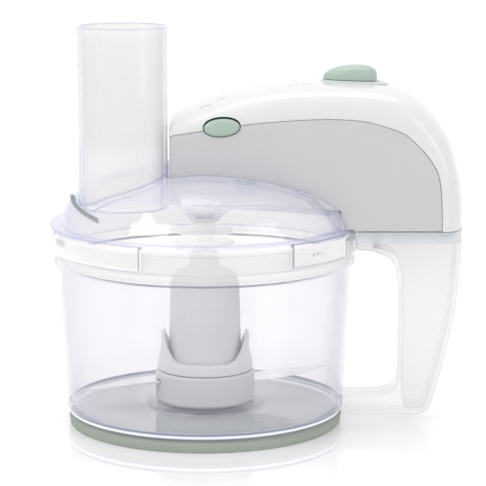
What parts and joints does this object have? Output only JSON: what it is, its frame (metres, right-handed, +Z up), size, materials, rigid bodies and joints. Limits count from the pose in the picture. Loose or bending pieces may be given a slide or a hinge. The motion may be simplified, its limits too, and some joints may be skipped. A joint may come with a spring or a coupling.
{
  "type": "food processor",
  "caption": "Food processor with a clear bowl and D handle, domed lid with oval feed tube, and an overhead drive arm that carries the motor and turns a blade column.",
  "frame": {"origin": "on the bowl axis at the underside of the mat", "axes": "+Z up along the bowl axis; +X towards the handle; +Y away from the feed tube's side, the shortest extent"},
  "size_m": [0.2542, 0.1912, 0.249],
  "materials": {
    "white_plastic": "gloss",
    "grey_plastic": "satin",
    "mint_plastic": "satin",
    "mat_rubber": "matte",
    "clear_plastic": "clear polished",
    "milky_plastic": "translucent",
    "steel": "brushed",
    "brass": "turned",
    "black_rubber": "matte",
    "dark_plastic": "satin",
    "board": "satin"
  },
  "bodies": {
    "bowl_unit": {"mat": "mat_rubber", "bowl": "clear_plastic", "bowl_spindle": "steel", "handle": "clear_plastic", "interlock_spring": "steel"},
    "pin": {"interlock_pin": "dark_plastic"},
    "tool": {"tool_holder": "grey_plastic", "bearing_sleeve": "white_plastic", "blade_hub": "white_plastic", "blade_upper": "steel", "blade_lower": "steel", "finger_collar": "white_plastic"},
    "lid_unit": {"lid": "clear_plastic", "lid_seal": "milky_plastic", "lid_bush": "white_plastic"},
    "coupler": {"lid_coupler": "white_plastic", "coupler_clip": "steel"},
    "pusher_unit": {"pusher": "milky_plastic"},
    "motor_unit": {"motor_cover": "white_plastic", "side_panel_front": "grey_plastic", "side_panel_rear": "grey_plastic", "underside_plate": "grey_plastic", "case_screw_1": "steel", "case_screw_2": "steel", "case_screw_3": "steel", "case_screw_4": "steel", "motor_mount": "black_rubber", "stator_can": "steel", "drive_belt": "black_rubber", "spindle_bush_lower": "brass", "spindle_bush_upper": "brass", "bearing_bridge": "grey_plastic", "control_board": "board", "switch_block": "dark_plastic", "switch_bezel": "mint_plastic", "cord_gland": "black_rubber"},
    "rotor": {"rotor_shaft": "steel", "rotor_core": "dark_plastic", "fan": "white_plastic", "motor_pulley": "brass"},
    "drive": {"drive_spindle": "steel", "driven_pulley": "white_plastic", "drive_dog": "dark_plastic"},
    "slider": {"speed_slider": "mint_plastic"},
    "release_front": {"release_button_front": "mint_plastic", "latch_lug_front": "mint_plastic"},
    "release_rear": {"release_button_rear": "mint_plastic", "latch_lug_rear": "mint_plastic"}
  },
  "joints": [
    {"name": "lid_lift", "type": "slide", "parent": "bowl_unit", "child": "lid_unit", "axis": [0, 0, 1], "range_m": [0, 0.16]},
    {"name": "motor_lift", "type": "slide", "parent": "lid_unit", "child": "motor_unit", "axis": [0, 0, 1], "range_m": [0, 0.1]},
    {"name": "pusher_lift", "type": "slide", "parent": "lid_unit", "child": "pusher_unit", "axis": [0, 0, 1], "range_m": [0, 0.12]},
    {"name": "tool_spin", "type": "hinge", "parent": "bowl_unit", "child": "tool", "pos_m": [0, 0, 0.03], "axis": [0, 0, 1], "continuous": true},
    {"name": "coupler_spin", "type": "hinge", "parent": "lid_unit", "child": "coupler", "pos_m": [0, 0, 0.12], "axis": [0, 0, 1], "continuous": true},
    {"name": "drive_spin", "type": "hinge", "parent": "motor_unit", "child": "drive", "pos_m": [0, 0, 0.17], "axis": [0, 0, 1], "continuous": true},
    {"name": "rotor_spin", "type": "hinge", "parent": "motor_unit", "child": "rotor", "pos_m": [0.1235, 0, 0.15], "axis": [0, 0, 1], "continuous": true},
    {"name": "speed_slide", "type": "slide", "parent": "motor_unit", "child": "slider", "axis": [1, 0, 0], "range_m": [0, 0.006]},
    {"name": "release_front_press", "type": "slide", "parent": "motor_unit", "child": "release_front", "axis": [0, 1, 0], "range_m": [0, 0.003], "stiffness_N_per_m": 500, "springref_m": -0.001},
    {"name": "release_rear_press", "type": "slide", "parent": "motor_unit", "child": "release_rear", "axis": [0, -1, 0], "range_m": [0, 0.003], "stiffness_N_per_m": 500, "springref_m": -0.001},
    {"name": "interlock_press", "type": "slide", "parent": "bowl_unit", "child": "pin", "axis": [0, 0, -1], "range_m": [0, 0.003], "stiffness_N_per_m": 200, "springref_m": -0.001, "deforming": ["interlock_spring"]}
  ],
  "couplings": [
    {"joint": "coupler_spin", "follows": "tool_spin", "ratio": 1},
    {"joint": "drive_spin", "follows": "tool_spin", "ratio": 1},
    {"joint": "rotor_spin", "follows": "tool_spin", "ratio": 2.5}
  ]
}
